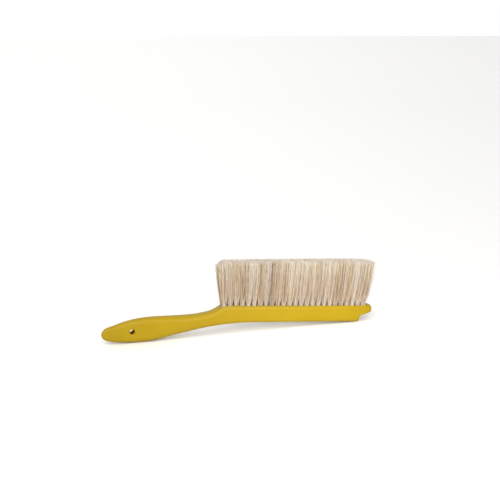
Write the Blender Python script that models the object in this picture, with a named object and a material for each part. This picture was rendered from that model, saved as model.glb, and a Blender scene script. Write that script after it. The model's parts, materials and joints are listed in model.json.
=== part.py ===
"""Bee brush: a moulded plastic handle with two rows of natural-hair tufts.

The brush lies at rest on its back with its tufts up: +X runs from the grip
to the nose, +Y across the brush and +Z up. The origin is the middle of its
footprint, on the surface that it rests on. Units are metres, and the brush's
own outline is drawn in millimetres along the head's flat back.
"""
import math
import bmesh
import bpy
from mathutils import Matrix, Vector

MM = 0.001

# Driving sizes of the handle, in mm. X counts from the butt end of the grip,
# and height counts from the flat back of the head.
LENGTH = 356.9
HEAD_THICK = 22.5
HEAD_HALF_WIDTH = 9.5
HEAD_START = 190.0
HEAD_EDGE_R = 4.5
NOSE_TAPER_X = 324.0
BUTT_ROUND = 7.0
BUTT_HEIGHT = -15.5
BUTT_CAP_X = 0.1
NOSE_ROUND = 5.5
NOSE_EDGE_EASE = 0.6

# Outline points as (x, height), joined by one smooth curve each.
FACE_LINE = [
    (0, -8.6), (12, -4.9), (24, -0.3), (36, 3.2), (48, 5.4), (62, 6.9), (80, 7.6),
    (104, 8.65), (118, 9.9), (130, 11.9), (140, 14.6), (146, 18.1), (149, 20.6),
    (152, 22.0), (157, HEAD_THICK), (180, HEAD_THICK), (LENGTH, HEAD_THICK),
]
BACK_LINE = [
    (0, -21.6), (8, -23.2), (15, -24.3), (27, -24.7), (40, -24.5), (54, -23.5), (70, -20.7),
    (90, -15.4), (110, -10.6), (130, -6.0), (150, -2.75), (170, -0.7), (HEAD_START, 0),
    (200, 0), (LENGTH, 0),
]
HALF_WIDTH_LINE = [
    (0, 4.6), (15, 5.8), (36, 7.2), (60, 8.6), (90, 9.3), (150, HEAD_HALF_WIDTH),
    (160, HEAD_HALF_WIDTH), (HEAD_START, HEAD_HALF_WIDTH), (NOSE_TAPER_X, HEAD_HALF_WIDTH),
    (345, 8.9), (LENGTH, 7.4),
]
EDGE_R_LINE = [
    (0, 4.4), (20, 5.2), (60, 6.4), (110, 6.2), (160, HEAD_EDGE_R), (170, HEAD_EDGE_R),
    (LENGTH, HEAD_EDGE_R),
]

# The step under the nose.
STEP_X = 339.4
STEP_HEIGHT = 6.8
STEP_FILLET = 2.5
NOSE_RISE_DEG = 14.0
HEEL_ROUND = 3.0
HEEL_SKIM = 0.05

# How far cutters reach past the surfaces that they cut.
CUTTER_REACH = 6.0

# The hanging hole through the grip.
HANG_X = 36.9
HANG_HEIGHT = -10.3
HANG_DIAMETER = 6.2
HANG_RIM_CHAMFER = 0.6

# Tufts.
TUFT_COUNT = 25
TUFT_PITCH = 7.97
FIRST_TUFT_X = 152.0
ROW_Y = {"front": -4.3, "rear": 4.3}
HOLE_DIAMETER = 5.8
HOLE_DEPTH = 8.5
CLEARANCE = 0.3
ROOT_COLLAR = 0.8
FIRST_FREE_LENGTH = 55.8
LAST_FREE_LENGTH = 59.0
TIP_OUTER_Y = 10.8
TIP_CORNER_R = 1.6
TIP_LEAN = -0.7
TIP_FAN = 5.9

# How far a tuft has spread towards its cell, as (share of free length, share of spread).
TUFT_SPREAD = [(0.2, 0.34), (0.45, 0.7), (0.75, 0.93), (1.0, 1.0)]

# How finely curves are stepped.
EDGE_STEPS = 4
END_STEPS = 5
BODY_STEP = 7.5
TAPER_STEP = 5.5
HOLE_SIDES = 12
HANG_SIDES = 24
TUFT_SIDES = 12


def smooth_value(points, x):
    """Height at x of the smooth curve through points (a cubic between each two)."""
    last = len(points) - 2
    i = min(max(sum(1 for p in points if p[0] < x) - 1, 0), last)

    def chord(k):
        return (points[k + 1][1] - points[k][1]) / (points[k + 1][0] - points[k][0])

    def tangent(k):
        if k == 0:
            return chord(0)
        if k == last + 1:
            return chord(last)
        before = points[k][0] - points[k - 1][0]
        after = points[k + 1][0] - points[k][0]
        return (after * chord(k - 1) + before * chord(k)) / (after + before)

    (x0, y0), (x1, y1) = points[i], points[i + 1]
    span = x1 - x0
    t = (x - x0) / span
    return (
        (2 * t**3 - 3 * t**2 + 1) * y0
        + (t**3 - 2 * t**2 + t) * span * tangent(i)
        + (3 * t**2 - 2 * t**3) * y1
        + (t**3 - t**2) * span * tangent(i + 1)
    )


def rounded_rectangle(half_width, low, high, radius, steps):
    """Points (y, z), anticlockwise seen from +X, of an upright rectangle with round corners."""
    centres = [
        (half_width - radius, high - radius),
        (radius - half_width, high - radius),
        (radius - half_width, low + radius),
        (half_width - radius, low + radius),
    ]
    points = []
    for quarter, (y, z) in enumerate(centres):
        for step in range(steps + 1):
            angle = math.radians(90 * (quarter + step / steps))
            points.append((y + radius * math.cos(angle), z + radius * math.sin(angle)))
    return points


def handle_section(x):
    """The handle's section at x: rounded rectangle, drawn in at the butt and the nose."""
    high = smooth_value(FACE_LINE, x)
    low = smooth_value(BACK_LINE, x)
    half_width = smooth_value(HALF_WIDTH_LINE, x)
    radius = smooth_value(EDGE_R_LINE, x)
    if x < BUTT_ROUND:
        draw = math.sqrt(1 - (1 - x / BUTT_ROUND) ** 2)
        high = BUTT_HEIGHT + draw * (high - BUTT_HEIGHT)
        low = BUTT_HEIGHT + draw * (low - BUTT_HEIGHT)
        half_width *= draw
        radius *= draw
    nose = (x - LENGTH + NOSE_ROUND) / NOSE_ROUND
    if nose > 0:
        inset = NOSE_ROUND * (1 - math.sqrt(1 - nose**2))
        high -= inset
        low += inset
        half_width -= inset
        radius -= inset * NOSE_EDGE_EASE
    return rounded_rectangle(half_width, low, high, radius, EDGE_STEPS)


def even_steps(start, end, step):
    """Places after start and up to end, as near to one step apart as comes out even."""
    count = round((end - start) / step)
    return [start + (end - start) * k / count for k in range(1, count + 1)]


def handle_stations():
    """X of each section: close together on the round ends, with none along the straight head."""
    quarter = [math.radians(90 * k / END_STEPS) for k in range(END_STEPS + 1)]
    butt = [BUTT_ROUND * (1 - math.cos(a)) for a in quarter[1:]]
    grip = even_steps(BUTT_ROUND, HEAD_START, BODY_STEP)
    taper = even_steps(NOSE_TAPER_X, LENGTH - NOSE_ROUND, TAPER_STEP)
    nose = [LENGTH - NOSE_ROUND + NOSE_ROUND * math.sin(a) for a in quarter[1:]]
    return [BUTT_CAP_X] + butt + grip + [NOSE_TAPER_X] + taper + nose


def new_object(name, mesh, collection):
    item = bpy.data.objects.new(name, mesh)
    collection.objects.link(item)
    return item


def mesh_from(name, bm):
    mesh = bpy.data.meshes.new(name)
    bmesh.ops.recalc_face_normals(bm, faces=bm.faces)
    bm.to_mesh(mesh)
    bm.free()
    return mesh


def loft(name, rings):
    """One closed skin through rings of equal point counts, with a flat cap on each end."""
    bm = bmesh.new()
    rows = [[bm.verts.new(Vector(p) * MM) for p in ring] for ring in rings]
    for near, far in zip(rows, rows[1:]):
        for k in range(len(near)):
            n = (k + 1) % len(near)
            bm.faces.new((near[k], near[n], far[n], far[k]))
    bm.faces.new(rows[0])
    bm.faces.new(rows[-1])
    return mesh_from(name, bm)


def plastic():
    material = bpy.data.materials.new("yellow_moulded_plastic")
    material.use_nodes = True
    shader = material.node_tree.nodes["Principled BSDF"]
    shader.inputs["Base Color"].default_value = (0.68, 0.43, 0.02, 1)
    shader.inputs["Roughness"].default_value = 0.38
    shader.inputs["Metallic"].default_value = 0.0
    return material


def hair():
    material = bpy.data.materials.new("natural_hair")
    material.use_nodes = True
    shader = material.node_tree.nodes["Principled BSDF"]
    shader.inputs["Base Color"].default_value = (0.62, 0.5, 0.38, 1)
    shader.inputs["Roughness"].default_value = 0.7
    shader.inputs["Metallic"].default_value = 0.0
    return material


def cut(item, cutter):
    modifier = item.modifiers.new("cut_" + cutter.name, "BOOLEAN")
    modifier.operation = "DIFFERENCE"
    modifier.solver = "EXACT"
    modifier.object = cutter


def mark_as_cutter(cutter, parent):
    cutter.hide_render = True
    cutter.display_type = "WIRE"
    cutter.parent = parent


def tuft_centres():
    return [FIRST_TUFT_X + TUFT_PITCH * k for k in range(TUFT_COUNT)]


def add_tuft_hole_cutter(collection, parent):
    """All the blind tuft holes as one cutter, standing proud of the head's face."""
    bm = bmesh.new()
    height = HOLE_DEPTH + CUTTER_REACH
    for y in ROW_Y.values():
        for x in tuft_centres():
            middle = Vector((x, y, HEAD_THICK - HOLE_DEPTH + height / 2)) * MM
            bmesh.ops.create_cone(
                bm, cap_ends=True, segments=HOLE_SIDES, radius1=HOLE_DIAMETER / 2 * MM,
                radius2=HOLE_DIAMETER / 2 * MM, depth=height * MM,
                matrix=Matrix.Translation(middle),
            )
    cutter = new_object("tuft_hole_cutter", mesh_from("tuft_hole_cutter", bm), collection)
    mark_as_cutter(cutter, parent)
    return cutter


def add_hanging_hole_cutter(collection, parent):
    """A drill along Y whose ends flare, so that both rims of the hole are chamfered."""
    radius = HANG_DIAMETER / 2
    half_wall = smooth_value(HALF_WIDTH_LINE, HANG_X)
    profile = [
        (radius + HANG_RIM_CHAMFER + CUTTER_REACH, half_wall + CUTTER_REACH),
        (radius, half_wall - HANG_RIM_CHAMFER),
    ]
    stations = profile + [(r, -y) for r, y in reversed(profile)]
    rings = []
    for r, y in stations:
        ring = []
        for k in range(HANG_SIDES):
            angle = math.tau * k / HANG_SIDES
            ring.append((HANG_X + r * math.cos(angle), y, HANG_HEIGHT + r * math.sin(angle)))
        rings.append(ring)
    cutter = new_object("hanging_hole_cutter", loft("hanging_hole_cutter", rings), collection)
    mark_as_cutter(cutter, parent)
    return cutter


def step_outline():
    """(x, height) round the space under the nose: heel round, end face, fillet, underside."""
    quarter = [math.radians(90 * k / EDGE_STEPS) for k in range(EDGE_STEPS + 1)]
    heel = [
        (STEP_X - HEEL_ROUND + HEEL_ROUND * math.sin(a), HEEL_ROUND - HEEL_ROUND * math.cos(a))
        for a in quarter
    ]
    rise = math.radians(NOSE_RISE_DEG)
    turn = math.pi / 2 - rise
    fillet = []
    for k in range(EDGE_STEPS + 1):
        angle = math.pi - turn * k / EDGE_STEPS
        x = STEP_X + STEP_FILLET + STEP_FILLET * math.cos(angle)
        fillet.append((x, STEP_HEIGHT + STEP_FILLET * math.sin(angle)))
    reach = LENGTH + CUTTER_REACH - fillet[-1][0]
    far = (fillet[-1][0] + reach, fillet[-1][1] + reach * math.tan(rise))
    start_x = heel[0][0] - CUTTER_REACH
    under = [(start_x, -CUTTER_REACH), (start_x, -HEEL_SKIM), (heel[0][0], -HEEL_SKIM)]
    return under + heel[1:] + fillet + [far, (far[0], -CUTTER_REACH)]


def add_step_cutter(collection, parent):
    outline = step_outline()
    reach = HEAD_HALF_WIDTH + CUTTER_REACH
    rings = [[(x, y, z) for x, z in outline] for y in (-reach, reach)]
    cutter = new_object("nose_step_cutter", loft("nose_step_cutter", rings), collection)
    mark_as_cutter(cutter, parent)
    return cutter


def add_handle(parts, cutters, parent):
    rings = [[(x, y, z) for y, z in handle_section(x)] for x in handle_stations()]
    handle = new_object("handle", loft("handle", rings), parts)
    handle.data.materials.append(plastic())
    handle.parent = parent
    handle.data.shade_smooth()
    handle.data.set_sharp_from_angle(angle=math.radians(35))
    cut(handle, add_tuft_hole_cutter(cutters, parent))
    cut(handle, add_hanging_hole_cutter(cutters, parent))
    cut(handle, add_step_cutter(cutters, parent))
    return handle


def fan(x):
    """How far a point of a row's top has moved along X: the ends spread, the whole row leans."""
    middle = FIRST_TUFT_X + TUFT_PITCH * (TUFT_COUNT - 1) / 2
    half = TUFT_PITCH * TUFT_COUNT / 2
    return TIP_LEAN + TIP_FAN * ((x - middle) / half) ** 3


def ring_towards_cell(centre_x, row_y, cell, share, radius):
    """(x, y) round a tuft, from a circle (share 0) to its rounded cell at the tips (share 1)."""
    low_x, high_x, low_y, high_y = cell
    points = []
    for k in range(TUFT_SIDES):
        angle = math.tau * (k + 0.5) / TUFT_SIDES
        c, s = math.cos(angle), math.sin(angle)
        corner_x = high_x - TIP_CORNER_R if c > 0 else low_x + TIP_CORNER_R
        corner_y = high_y - TIP_CORNER_R if s > 0 else low_y + TIP_CORNER_R
        square_x = corner_x + TIP_CORNER_R * c
        square_y = corner_y + TIP_CORNER_R * s
        round_x = centre_x + radius * c
        round_y = row_y + radius * s
        points.append((round_x + share * (square_x - round_x), round_y + share * (square_y - round_y)))
    return points


def tuft_mesh(name, row, index):
    """A tuft: round in its hole, spreading above the face until it meets its neighbours."""
    x = tuft_centres()[index]
    side = -1 if ROW_Y[row] < 0 else 1
    y_edges = sorted((side * CLEARANCE / 2, side * TIP_OUTER_Y))
    left = x - TUFT_PITCH / 2
    right = x + TUFT_PITCH / 2
    cell = (
        left + fan(left) + CLEARANCE / 2,
        right + fan(right) - CLEARANCE / 2,
        y_edges[0],
        y_edges[1],
    )
    root_radius = HOLE_DIAMETER / 2 - CLEARANCE
    stations = [(CLEARANCE - HOLE_DEPTH, 0), (ROOT_COLLAR, 0)]
    free_length = FIRST_FREE_LENGTH + (LAST_FREE_LENGTH - FIRST_FREE_LENGTH) * index / (TUFT_COUNT - 1)
    stations += [(free_length * height, share) for height, share in TUFT_SPREAD]
    rings = []
    for height, share in stations:
        ring = ring_towards_cell(x, ROW_Y[row], cell, share, root_radius)
        rings.append([(px, py, HEAD_THICK + height) for px, py in ring])
    return loft(name, rings)


def add_tufts(parts, parent, material):
    tufts = []
    for row in ROW_Y:
        for index in range(TUFT_COUNT):
            name = f"{row}_tuft_{index + 1:02d}"
            tuft = new_object(name, tuft_mesh(name, row, index), parts)
            tuft.data.materials.append(material)
            tuft.data.shade_smooth()
            tuft.data.set_sharp_from_angle(angle=math.radians(40))
            tuft.parent = parent
            tufts.append(tuft)
    return tufts


def set_at_rest(datum, pieces):
    """Tips the brush so that grip and heel both touch the surface, origin under its middle."""
    heel_x = STEP_X - HEEL_ROUND
    grip = [x for x in handle_stations() if x < HEAD_START]
    pitch = max(math.atan2(-smooth_value(BACK_LINE, x), heel_x - x) for x in grip)
    datum.rotation_euler = (0, pitch, 0)
    bpy.context.view_layer.update()
    graph = bpy.context.evaluated_depsgraph_get()
    corners = []
    for piece in pieces:
        shown = piece.evaluated_get(graph)
        corners += [shown.matrix_world @ vertex.co for vertex in shown.data.vertices]
    xs = [corner.x for corner in corners]
    zs = [corner.z for corner in corners]
    datum.location = (-(min(xs) + max(xs)) / 2, 0, -min(zs))
    bpy.context.view_layer.update()


def clear_scene():
    for item in list(bpy.data.objects):
        bpy.data.objects.remove(item, do_unlink=True)


def main():
    clear_scene()
    parts = bpy.data.collections.new("bee_brush")
    cutters = bpy.data.collections.new("cutters")
    bpy.context.scene.collection.children.link(parts)
    bpy.context.scene.collection.children.link(cutters)
    datum = new_object("head_back_datum", None, parts)
    handle = add_handle(parts, cutters, datum)
    tufts = add_tufts(parts, datum, hair())
    set_at_rest(datum, [handle] + tufts)


main()
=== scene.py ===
"""Looks of a bee brush: moulded yellow handle, hair tufts and their wire anchors.

Everything is in metres, in the CAD frame: +X from the grip to the nose, +Y
across the brush, +Z up, the brush lying on its back at z = 0. The brush's own
shapes are worked out in its head frame: X along the head's flat back and
height off that back.
"""
import math

import bmesh
import bpy
import numpy as np
from mathutils import Matrix, Vector
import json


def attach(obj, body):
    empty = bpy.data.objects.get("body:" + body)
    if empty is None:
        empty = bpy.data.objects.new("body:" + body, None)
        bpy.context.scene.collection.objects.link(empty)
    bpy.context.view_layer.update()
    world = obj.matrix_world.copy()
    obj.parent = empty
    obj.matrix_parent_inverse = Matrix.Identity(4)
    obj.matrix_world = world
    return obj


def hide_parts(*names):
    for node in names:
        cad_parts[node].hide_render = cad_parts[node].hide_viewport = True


MM = 0.001
SEED = 20

# One hair: a three-sided tube, finer at its tips, with a slow wave and a bow. Its rings are
# set out from RING_GUIDE, a direction across its legs.
HAIRS_PER_TUFT = 120
HAIR_ROOT_R = 0.165 * MM
HAIR_TIP_R = 0.12 * MM
HAIR_SIDES = 3
WAVE_LENGTH = 34 * MM
WAVE_HEIGHT = 0.4 * MM
BOW_HEIGHT = 0.6 * MM
LEG_STATIONS = (0.0, 0.06, 0.14, 0.25, 0.38, 0.52, 0.68, 0.82, 0.92, 1.0)
FOLD_HEIGHT = 0.2 * MM
FOLD_LEG_HEIGHT = 1.2 * MM
RING_GUIDE = (0.31, 0.95, 0.05)

# How a tuft spreads from its hole and mixes with its neighbours.
TUFT_ROOT_R = 2.7 * MM
ROOT_SHAKE = 0.04
SQUARE_LIMIT = 1.15
SPREAD_POWER = 2.4
BUTT_FAN_POWER = 0.9
NOSE_FAN_POWER = 1.9
NEIGHBOUR_OVERLAP = 2.2 * MM
CLUMPS_PER_TUFT = 8
CLUMP_REACH = 0.8
CLUMP_PULL = 0.35
TIP_SCATTER = 1.0 * MM
END_FRAY = 0.5 * MM

# The trimmed top: rounded off at the butt's end, falling away gently at the nose's.
END_DROP = 6.5 * MM
END_DROP_REACH = 3.4 * MM
NOSE_END_SLOPE = 0.05
NOSE_END_REACH = 26 * MM
TRIM_SCATTER = 0.45 * MM
SHORT_HAIR_SHARE = 0.07
SHORT_HAIR_LOSS = 7 * MM

# Tone of a hair, from 0 for the darkest brown to 1 for the palest.
MIDDLE_TONE = 0.5
LEAST_TONE = 0.1
CLUMP_TONE_SPREAD = 0.13
HAIR_TONE_SPREAD = 0.23
BROWN_CLUMP_SHARE = 0.06
BROWN_TONE = 0.1
DARK_HAIR_SHARE = 0.09
DARK_TONE = 0.02
# Painted light along each hair: its tone is raised near the roots and towards the tips.
ROOT_PAINTED_LIGHT = 0.4
ROOT_PAINTED_LIGHT_SHARE = 0.22
TIP_PAINTED_LIGHT = 0.12

# A corner of a CAD tuft this near its lowest or highest level counts as on it.
LEVEL_BAND = 0.1 * MM

# Anchors: flat steel wire across the bottom of each hole.
ANCHOR_WIDTH = 0.4 * MM
ANCHOR_HEIGHT = 1.6 * MM
ANCHOR_LENGTH = 5.2 * MM
ANCHOR_LIFT = 0.5 * MM

# Fine skin of the handle, and the block behind the nose step, placed from the head's mount.
SKIN_CELL = 0.68 * MM
SKIN_SMOOTHING = 9
WELD = 0.01 * MM
# HOLE_WALL_R: radius round the hanging hole's axis inside which faces get the painted hole shade.
HOLE_WALL_R = 3.35 * MM
STEP_FROM_MOUNT = 74.4 * MM
HEEL_CORNER_R = 5.5 * MM
HEEL_TOP = 5.2 * MM
HEEL_BLEND = 1.6 * MM

# Camera.
CAMERA_AZIMUTH = -18.575
CAMERA_ELEVATION = 12.315
CAMERA_DISTANCE = 1.2515
CAMERA_AIM = (0.0109, 0.0, 0.1049)
CAMERA_LENS = 72
CAMERA_SENSOR = 36

# Floor and lights. The room's glow fades between two directions, given by their X parts.
FLOOR_REACH = 80
ROOM_GLOW = 0.84
ROOM_GLOW_NOSE_SIDE = 0.26
ROOM_FALL_START = 0.1
ROOM_FALL_END = 0.9
KEY_STRENGTH = 2.5
KEY_WIDTH = 75
KEY_AZIMUTH = -32
KEY_ELEVATION = 42
CARD_PLACE = (0.095, -0.26, 0.13)
CARD_AIM = (0.095, 0.0, 0.03)
CARD_WIDTH = 0.2
CARD_HEIGHT = 0.14
CARD_POWER = 0.55


def linear(code):
    """An sRGB hex colour as the linear RGBA that shaders take."""
    parts = [int(code[i:i + 2], 16) / 255 for i in (0, 2, 4)]
    return [c / 12.92 if c <= 0.04045 else ((c + 0.055) / 1.055) ** 2.4 for c in parts] + [1]


def add_node(tree, kind, values=None, links=None, **settings):
    """Adds a node, sets its settings and socket values, and links its inputs."""
    node = tree.nodes.new(kind)
    for key, value in settings.items():
        setattr(node, key, value)
    for socket, value in (values or {}).items():
        node.inputs[socket].default_value = value
    for socket, source in (links or {}).items():
        tree.links.new(source, node.inputs[socket])
    return node


def new_material(name):
    """An empty material, its node tree and its one shader."""
    material = bpy.data.materials.new(name)
    material.use_nodes = True
    tree = material.node_tree
    tree.nodes.clear()
    shader = add_node(tree, "ShaderNodeBsdfPrincipled")
    add_node(tree, "ShaderNodeOutputMaterial", links={"Surface": shader.outputs["BSDF"]})
    return material, tree, shader


def ramp(tree, source, stops):
    """A colour ramp read at source, from (place, sRGB hex) stops."""
    node = add_node(tree, "ShaderNodeValToRGB", links={"Fac": source})
    elements = node.color_ramp.elements
    while len(elements) < len(stops):
        elements.new(0.5)
    for element, (place, colour) in zip(elements, stops):
        element.position = place
        element.color = linear(colour)
    return node


def moulded_polypropylene():
    """Injection-moulded yellow polypropylene: satin, slightly cloudy, with a faint mould grain."""
    cloud_size = 40 * MM
    grain_size = 0.7 * MM
    grain_depth = 0.03 * MM
    material, tree, shader = new_material("moulded_yellow_polypropylene")
    place = add_node(tree, "ShaderNodeTexCoord").outputs["Object"]
    cloud = add_node(
        tree, "ShaderNodeTexNoise", {"Scale": 1 / cloud_size, "Detail": 3, "Roughness": 0.5},
        {"Vector": place},
    )
    colour = ramp(tree, cloud.outputs["Fac"], [(0.3, "967B01"), (0.7, "9C8102")])
    tree.links.new(colour.outputs["Color"], shader.inputs["Base Color"])
    grain = add_node(tree, "ShaderNodeTexNoise", {"Scale": 1 / grain_size, "Detail": 2}, {"Vector": place})
    bump = add_node(
        tree, "ShaderNodeBump", {"Strength": 0.25, "Distance": grain_depth}, {"Height": grain.outputs["Fac"]}
    )
    tree.links.new(bump.outputs["Normal"], shader.inputs["Normal"])
    shader.inputs["Roughness"].default_value = 0.36
    shader.inputs["IOR"].default_value = 1.49
    shader.inputs["Specular IOR Level"].default_value = 0.2
    return material


def painted_hole_shade():
    """Wall of the hanging hole: the same plastic, dull, its colour darkened to brown as painted shade, so
    the hole reads as a dark warm recess.
    """
    material, _, shader = new_material("hole_painted_shade_polypropylene")
    # Painted shade: the hole wall's colour is darkened to brown.
    shader.inputs["Base Color"].default_value = linear("8E5F10")
    shader.inputs["Roughness"].default_value = 0.9
    shader.inputs["Specular IOR Level"].default_value = 0
    return material


def natural_hair():
    """Natural horsehair: pale cream to fawn, odd brown hairs, dull; painted shade along each hair darkens
    its roots and its very tips.
    """
    material, tree, shader = new_material("natural_horsehair")
    tone = add_node(tree, "ShaderNodeAttribute", attribute_name="hair_tone")
    colour = ramp(
        tree, tone.outputs["Fac"],
        [(0.0, "63411F"), (0.06, "A7845A"), (0.2, "CFB58F"), (0.55, "E3CFB1"), (1.0, "EDE6DC")],
    )
    # Painted shade along each hair: darker at the roots and at the very tips.
    along = add_node(tree, "ShaderNodeAttribute", attribute_name="hair_along")
    shade = ramp(
        tree, along.outputs["Fac"],
        [(0.0, "E2DDD7"), (0.1, "E6E0DE"), (0.2, "ECEAEA"), (0.4, "F1EFF1"), (0.6, "F4F4F9"),
         (0.78, "FAFCFF"), (0.86, "FBFEFF"), (0.93, "FAFDFF"), (1.0, "EAEFFB")],
    )
    mixed = add_node(
        tree, "ShaderNodeMix", {0: 1.0}, {6: colour.outputs["Color"], 7: shade.outputs["Color"]},
        data_type="RGBA", blend_type="MULTIPLY",
    )
    tree.links.new(mixed.outputs[2], shader.inputs["Base Color"])
    shader.inputs["Roughness"].default_value = 0.5
    shader.inputs["IOR"].default_value = 1.55
    return material


def galvanised_wire():
    """Flat galvanised steel wire: dull grey metal, hidden in the bottom of the tuft holes."""
    material, _, shader = new_material("galvanised_flat_wire")
    shader.inputs["Base Color"].default_value = linear("A9ABAC")
    shader.inputs["Metallic"].default_value = 1
    shader.inputs["Roughness"].default_value = 0.4
    return material


def head_frame(record):
    """Matrix from the head frame to the world, read from the mount on the head's back."""
    back = next(m for m in record["mounts"] if m["name"] == "back_rest")
    normal = Vector(back["axis"]).normalized()
    pitch = math.atan2(-normal.x, -normal.z)
    return Matrix.Translation(back["pos_m"]) @ Matrix.Rotation(pitch, 4, "Y")


def vertex_places(mesh):
    """Places of a mesh's vertices, one row each."""
    flat = np.zeros(len(mesh.vertices) * 3, np.float32)
    mesh.vertices.foreach_get("co", flat)
    return flat.reshape(-1, 3).astype(float)


def transformed(matrix, points):
    """Rows of points moved by a 4x4 matrix."""
    m = np.array(matrix)
    return points @ m[:3, :3].T + m[:3, 3]


def new_piece(name, mesh, material, replaces=()):
    """A piece that rides on the brush's one body, and stands in for the CAD nodes it replaces."""
    piece = bpy.data.objects.new(name, mesh)
    bpy.context.scene.collection.objects.link(piece)
    mesh.materials.append(material)
    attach(piece, "root")
    if replaces:
        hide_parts(*replaces)
    return piece


def handle_skin(source):
    """The handle's surface as one fine even skin, its edges and hole rims eased."""
    bm = bmesh.new()
    bm.from_mesh(source.data)
    bmesh.ops.remove_doubles(bm, verts=bm.verts, dist=WELD)
    coarse = bpy.data.meshes.new("coarse_handle")
    bm.to_mesh(coarse)
    bm.free()
    item = bpy.data.objects.new("coarse_handle", coarse)
    bpy.context.scene.collection.objects.link(item)
    remesh = item.modifiers.new("even_skin", "REMESH")
    remesh.mode = "VOXEL"
    remesh.voxel_size = SKIN_CELL
    smooth = item.modifiers.new("eased_edges", "SMOOTH")
    smooth.factor = 0.5
    smooth.iterations = SKIN_SMOOTHING
    graph = bpy.context.evaluated_depsgraph_get()
    skin = bpy.data.meshes.new_from_object(item.evaluated_get(graph))
    skin.name = "handle_skin"
    bpy.data.objects.remove(item, do_unlink=True)
    skin.shade_smooth()
    skin.materials.clear()
    return skin


def round_heel_corners(skin, to_world):
    """Rounds the upright corners of the block behind the nose step, below the nose itself."""
    points = transformed(to_world.inverted(), vertex_places(skin))
    ahead = (points[:, 0] - STEP_FROM_MOUNT + HEEL_CORNER_R).clip(0, HEEL_CORNER_R)
    inset = HEEL_CORNER_R - np.sqrt(HEEL_CORNER_R**2 - ahead**2)
    below = ((HEEL_TOP + HEEL_BLEND - points[:, 2]) / HEEL_BLEND).clip(0, 1)
    behind = points[:, 0] < STEP_FROM_MOUNT + HEEL_BLEND
    side = points[:, 1] / np.abs(points[:, 1]).max()
    points[:, 1] -= np.where(behind, inset * below * side, 0)
    placed = transformed(to_world, points).astype(np.float32)
    skin.vertices.foreach_set("co", placed.reshape(-1))
    skin.update()


def mark_hole_wall(skin, record):
    """Gives the faces inside the hanging hole the skin's second material, the painted hole shade, and all
    others its first.
    """
    opening = next(o for o in record["physics"]["openings"] if o["name"] == "hanging_hole")
    low, high = (np.array(corner) for corner in opening["box_m"])
    centre = np.zeros(len(skin.polygons) * 3, np.float32)
    skin.polygons.foreach_get("center", centre)
    offset = centre.reshape(-1, 3) - (low + high) / 2
    inside = np.hypot(offset[:, 0], offset[:, 2]) < HOLE_WALL_R
    skin.polygons.foreach_set("material_index", inside.astype(np.int32))


class Tuft:
    """Where a CAD tuft stands, in the head frame: its hole's axis, its faces and its tip cell."""

    def __init__(self, node, to_head):
        points = transformed(to_head, vertex_places(node.data))
        low = points[:, 2].min()
        high = points[:, 2].max()
        root = points[points[:, 2] < low + LEVEL_BAND]
        tips = points[points[:, 2] > high - LEVEL_BAND]
        self.x = (root[:, 0].min() + root[:, 0].max()) / 2
        self.y = (root[:, 1].min() + root[:, 1].max()) / 2
        self.bottom = low
        self.top = high
        self.cell_middle = (tips.min(axis=0) + tips.max(axis=0))[:2] / 2
        self.cell_half = (tips.max(axis=0) - tips.min(axis=0))[:2] / 2


def disc_points(count, rng):
    """Evenly packed points on the unit disc, slightly shaken."""
    k = np.arange(count) + 0.5
    radius = np.sqrt(k / count)
    angle = k * math.pi * (3 - math.sqrt(5)) + rng.uniform(0, math.tau)
    disc = np.stack([radius * np.cos(angle), radius * np.sin(angle)], 1)
    return disc + rng.normal(0, ROOT_SHAKE, disc.shape)


def disc_to_square(disc):
    """Stretches the unit disc out to the unit square."""
    radius = np.linalg.norm(disc, axis=1, keepdims=True)
    reach = np.abs(disc).max(axis=1, keepdims=True)
    return disc * np.minimum(radius, SQUARE_LIMIT) / np.maximum(reach, 1e-6)


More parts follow.
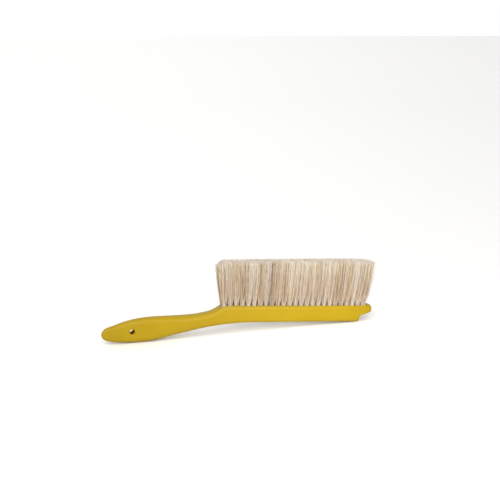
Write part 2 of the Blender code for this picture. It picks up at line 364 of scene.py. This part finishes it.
def hair_legs(tuft, face, brush_ends, count, rng):
    """Paths of one tuft's hair legs from the face up, and the tone at each of their stations."""
    disc = disc_points(count, rng)
    square = disc_to_square(disc)
    clump_home = disc_to_square(disc_points(CLUMPS_PER_TUFT, rng)) * CLUMP_REACH
    distance = np.linalg.norm(square[:, None] - clump_home[None], axis=2)
    clump = distance.argmin(axis=1)
    pulled = square + CLUMP_PULL * (clump_home[clump] - square)
    spread = pulled * (tuft.cell_half + [NEIGHBOUR_OVERLAP, 0]) + rng.normal(0, TIP_SCATTER, disc.shape)
    fray = rng.normal(0, END_FRAY, count)
    low_end, high_end = brush_ends - tuft.cell_middle[0]
    spread[:, 0] = spread[:, 0].clip(low_end + fray, high_end + fray)
    tips = tuft.cell_middle + spread
    length = tuft.top - face + rng.normal(0, TRIM_SCATTER, count)
    length -= END_DROP * np.exp(-np.maximum(tips[:, 0] - brush_ends[0], 0) / END_DROP_REACH)
    length -= NOSE_END_SLOPE * np.maximum(tips[:, 0] - brush_ends[1] + NOSE_END_REACH, 0)
    short = rng.random(count) < SHORT_HAIR_SHARE
    length -= np.where(short, rng.random(count) * SHORT_HAIR_LOSS, 0)
    t = np.array(LEG_STATIONS)
    spread_share = (1 - (1 - t) ** SPREAD_POWER)[None, :, None]
    base = np.array([tuft.x, tuft.y])
    fan_power = BUTT_FAN_POWER if tuft.cell_middle[0] < tuft.x else NOSE_FAN_POWER
    fan_share = (1 - (1 - t) ** fan_power)[None, :, None]
    paths = np.zeros((count, len(t), 3))
    paths[:, :, :2] = base + disc[:, None] * TUFT_ROOT_R * (1 - spread_share)
    paths[:, :, :2] += spread_share * spread[:, None] + fan_share * (tuft.cell_middle - base)
    paths[:, :, 2] = face + length[:, None] * t[None]
    phase = rng.uniform(0, math.tau, (count, 1))
    heading = rng.uniform(0, math.tau, (count, 1))
    wave = WAVE_HEIGHT * t[None] * np.sin(phase + math.tau * paths[:, :, 2] / WAVE_LENGTH)
    wave += rng.normal(0, BOW_HEIGHT, (count, 1)) * np.sin(math.pi * t)[None]
    paths[:, :, 0] += wave * np.cos(heading)
    paths[:, :, 1] += wave * np.sin(heading)
    clump_tone = rng.normal(MIDDLE_TONE, CLUMP_TONE_SPREAD, CLUMPS_PER_TUFT)
    clump_tone[rng.random(CLUMPS_PER_TUFT) < BROWN_CLUMP_SHARE] = BROWN_TONE
    tone = clump_tone[clump] + rng.normal(0, HAIR_TONE_SPREAD, count)
    # Painted light: paler tone near the roots and towards the tips.
    along = ROOT_PAINTED_LIGHT * (1 - t / ROOT_PAINTED_LIGHT_SHARE).clip(0) + TIP_PAINTED_LIGHT * t**3
    tone = (tone[:, None] + along[None]).clip(LEAST_TONE, 1)
    dark = rng.random(count) < DARK_HAIR_SHARE
    tone[dark] = DARK_TONE
    return paths, tone


def folded_hairs(tuft, face, brush_ends, rng):
    """Whole hairs, each bent double round the anchor: up one leg, round the fold, up the other."""
    legs, tone = hair_legs(tuft, face, brush_ends, HAIRS_PER_TUFT * 2, rng)
    order = np.argsort(legs[:, 0, 1])
    near = legs[order[:HAIRS_PER_TUFT]]
    far = legs[order[HAIRS_PER_TUFT:]]
    near_tone = tone[order[:HAIRS_PER_TUFT]]
    far_tone = tone[order[HAIRS_PER_TUFT:]]
    inside = near[:, 0:1].copy()
    inside[:, :, 2] = tuft.bottom + FOLD_LEG_HEIGHT
    fold = (near[:, 0:1] + far[:, 0:1]) / 2
    fold[:, :, 2] = tuft.bottom + FOLD_HEIGHT
    outside = far[:, 0:1].copy()
    outside[:, :, 2] = tuft.bottom + FOLD_LEG_HEIGHT
    paths = np.concatenate([near[:, ::-1], inside, fold, outside, far], axis=1)
    near_root = near_tone[:, :1]
    far_root = far_tone[:, :1]
    tones = np.concatenate([near_tone[:, ::-1], near_root, near_root, far_root, far_tone], axis=1)
    return paths, tones


def tube_mesh(name, paths, radii, **tones):
    """One thin closed tube along each path (hair, station, xyz), with attributes from tones."""
    hairs, stations, _ = paths.shape
    along = np.gradient(paths, axis=1)
    along /= np.linalg.norm(along, axis=2, keepdims=True)
    side = np.cross(along, np.array(RING_GUIDE))
    side /= np.linalg.norm(side, axis=2, keepdims=True)
    up = np.cross(along, side)
    angle = math.tau * np.arange(HAIR_SIDES) / HAIR_SIDES
    ring = (
        side[:, :, None] * np.cos(angle)[None, None, :, None]
        + up[:, :, None] * np.sin(angle)[None, None, :, None]
    )
    points = paths[:, :, None] + ring * radii[None, :, None, None]
    index = np.arange(hairs * stations * HAIR_SIDES).reshape(hairs, stations, HAIR_SIDES)
    a = index[:, :-1]
    b = index[:, 1:]
    quads = np.stack([a, np.roll(a, -1, 2), np.roll(b, -1, 2), b], -1).reshape(-1, 4)
    caps = np.concatenate([index[:, 0, ::-1], index[:, -1]]).reshape(-1, HAIR_SIDES)
    mesh = bpy.data.meshes.new(name)
    faces = quads.tolist() + caps.tolist()
    mesh.from_pydata(points.reshape(-1, 3).tolist(), [], faces)
    mesh.shade_smooth()
    for label, tone in tones.items():
        values = np.repeat(tone[:, :, None], HAIR_SIDES, 2).reshape(-1).astype(np.float32)
        mesh.attributes.new(label, "FLOAT", "POINT").data.foreach_set("value", values)
    mesh.update()
    return mesh


def add_tufts(frame, to_world, hair):
    """Fills every CAD tuft with folded hairs, one piece each."""
    rng = np.random.default_rng(SEED)
    to_head = to_world.inverted()
    face = transformed(to_head, vertex_places(frame["nodes"]["handle"].data))[:, 2].max()
    names = sorted(n for n in frame["nodes"] if "_tuft_" in n)
    tufts = [(name, Tuft(frame["nodes"][name], to_head)) for name in names]
    brush_ends = np.array([
        min(tuft.cell_middle[0] - tuft.cell_half[0] for _, tuft in tufts),
        max(tuft.cell_middle[0] + tuft.cell_half[0] for _, tuft in tufts),
    ])
    for name, tuft in tufts:
        paths, tone = folded_hairs(tuft, face, brush_ends, rng)
        stations = paths.shape[1]
        reach = np.abs(np.linspace(-1, 1, stations))
        radii = HAIR_ROOT_R + (HAIR_TIP_R - HAIR_ROOT_R) * reach
        placed = transformed(to_world, paths.reshape(-1, 3)).reshape(paths.shape)
        t = np.array(LEG_STATIONS)
        along = np.tile(np.concatenate([t[::-1], [0, 0, 0], t]), (len(paths), 1))
        mesh = tube_mesh(name + "_hair", placed, radii, hair_tone=tone, hair_along=along)
        new_piece(name + "_hair", mesh, hair, [name])
    return tufts


def add_anchors(tufts, to_world, wire):
    """One piece for each row: a flat wire across the bottom of each of its tuft holes."""
    for row in ("front", "rear"):
        bm = bmesh.new()
        for name, tuft in tufts:
            if not name.startswith(row):
                continue
            middle = Vector((tuft.x, tuft.y, tuft.bottom + ANCHOR_LIFT + ANCHOR_HEIGHT / 2))
            size = Matrix.Diagonal((ANCHOR_LENGTH, ANCHOR_WIDTH, ANCHOR_HEIGHT, 1))
            bmesh.ops.create_cube(bm, size=1, matrix=to_world @ Matrix.Translation(middle) @ size)
        mesh = bpy.data.meshes.new(row + "_anchors")
        bm.to_mesh(mesh)
        bm.free()
        new_piece(row + "_anchors", mesh, wire)


def white_acrylic():
    """White acrylic sheet: nearly white, with a soft sheen."""
    material, _, shader = new_material("white_acrylic_sheet")
    shader.inputs["Base Color"].default_value = linear("F4F3F1")
    shader.inputs["Roughness"].default_value = 0.3
    return material


def add_floor():
    mesh = bpy.data.meshes.new("floor")
    corners = [(-1, -1), (1, -1), (1, 1), (-1, 1)]
    mesh.from_pydata([(x * FLOOR_REACH, y * FLOOR_REACH, 0) for x, y in corners], [], [(0, 1, 2, 3)])
    floor = bpy.data.objects.new("floor", mesh)
    bpy.context.scene.collection.objects.link(floor)
    mesh.materials.append(white_acrylic())


def direction(azimuth, elevation):
    """Unit vector towards a place round the brush: azimuth 0 is in front of it, -90 off its grip."""
    turn = math.radians(azimuth)
    rise = math.radians(elevation)
    return Vector((
        math.sin(turn) * math.cos(rise),
        -math.cos(turn) * math.cos(rise),
        math.sin(rise),
    ))


def add_room():
    """A white room: its glow is dimmer on the nose's side, and the backdrop behind all is plain white."""
    world = bpy.data.worlds.new("studio")
    bpy.context.scene.world = world
    world.use_nodes = True
    tree = world.node_tree
    tree.nodes.clear()
    towards = add_node(tree, "ShaderNodeTexCoord").outputs["Generated"]
    side = add_node(tree, "ShaderNodeSeparateXYZ", links={"Vector": towards}).outputs["X"]
    glow = add_node(
        tree, "ShaderNodeMapRange",
        {"From Min": ROOM_FALL_START, "From Max": ROOM_FALL_END,
         "To Min": ROOM_GLOW, "To Max": ROOM_GLOW_NOSE_SIDE},
        {"Value": side}, interpolation_type="SMOOTHSTEP",
    )
    room = add_node(tree, "ShaderNodeBackground", {"Color": linear("FFFFFF")},
                    {"Strength": glow.outputs["Result"]})
    backdrop = add_node(tree, "ShaderNodeBackground", {"Color": linear("FFFFFF")})
    seen = add_node(tree, "ShaderNodeLightPath").outputs["Is Camera Ray"]
    both = add_node(tree, "ShaderNodeMixShader", links={0: seen, 1: room.outputs[0], 2: backdrop.outputs[0]})
    add_node(tree, "ShaderNodeOutputWorld", links={"Surface": both.outputs[0]})


def add_aimed(name, data, place, back):
    """Puts a light or a camera at a place, looking away from the direction back."""
    item = bpy.data.objects.new(name, data)
    bpy.context.scene.collection.objects.link(item)
    item.location = place
    item.rotation_mode = "QUATERNION"
    item.rotation_quaternion = back.to_track_quat("Z", "Y")
    return item


def add_key():
    """One very broad light from the front and the grip's side."""
    key = bpy.data.lights.new("broad_key", "SUN")
    key.energy = KEY_STRENGTH
    key.angle = math.radians(KEY_WIDTH)
    add_aimed("broad_key", key, (0, 0, 0), direction(KEY_AZIMUTH, KEY_ELEVATION))


def add_card():
    """A lit card in front of the head."""
    card = bpy.data.lights.new("head_card", "AREA")
    card.shape = "RECTANGLE"
    card.size = CARD_WIDTH
    card.size_y = CARD_HEIGHT
    card.energy = CARD_POWER
    add_aimed("head_card", card, CARD_PLACE, Vector(CARD_PLACE) - Vector(CARD_AIM))


def add_camera():
    camera = bpy.data.cameras.new("camera")
    camera.sensor_width = CAMERA_SENSOR
    camera.lens = CAMERA_LENS
    back = direction(CAMERA_AZIMUTH, CAMERA_ELEVATION)
    place = Vector(CAMERA_AIM) + back * CAMERA_DISTANCE
    bpy.context.scene.camera = add_aimed("camera", camera, place, back)


def write_sizes():
    import json


with open("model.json") as file:
    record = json.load(file)
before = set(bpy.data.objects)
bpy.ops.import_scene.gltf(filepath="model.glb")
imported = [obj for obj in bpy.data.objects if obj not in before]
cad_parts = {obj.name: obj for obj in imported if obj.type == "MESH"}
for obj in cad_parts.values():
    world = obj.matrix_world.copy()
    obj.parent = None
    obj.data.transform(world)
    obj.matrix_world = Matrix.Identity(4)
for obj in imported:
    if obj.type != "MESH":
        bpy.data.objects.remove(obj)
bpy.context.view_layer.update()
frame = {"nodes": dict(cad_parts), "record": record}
to_world = head_frame(frame["record"])
bpy.context.scene.view_settings.view_transform = "Standard"
add_camera()
add_room()
add_key()
add_card()
add_floor()
skin = handle_skin(frame["nodes"]["handle"])
round_heel_corners(skin, to_world)
new_piece("handle_skin", skin, moulded_polypropylene(), ["handle"])
# The skin's second slot: the hanging hole's wall, darkened with painted shade.
skin.materials.append(painted_hole_shade())
mark_hole_wall(skin, frame["record"])
tufts = add_tufts(frame, to_world, natural_hair())
add_anchors(tufts, to_world, galvanised_wire())
write_sizes()
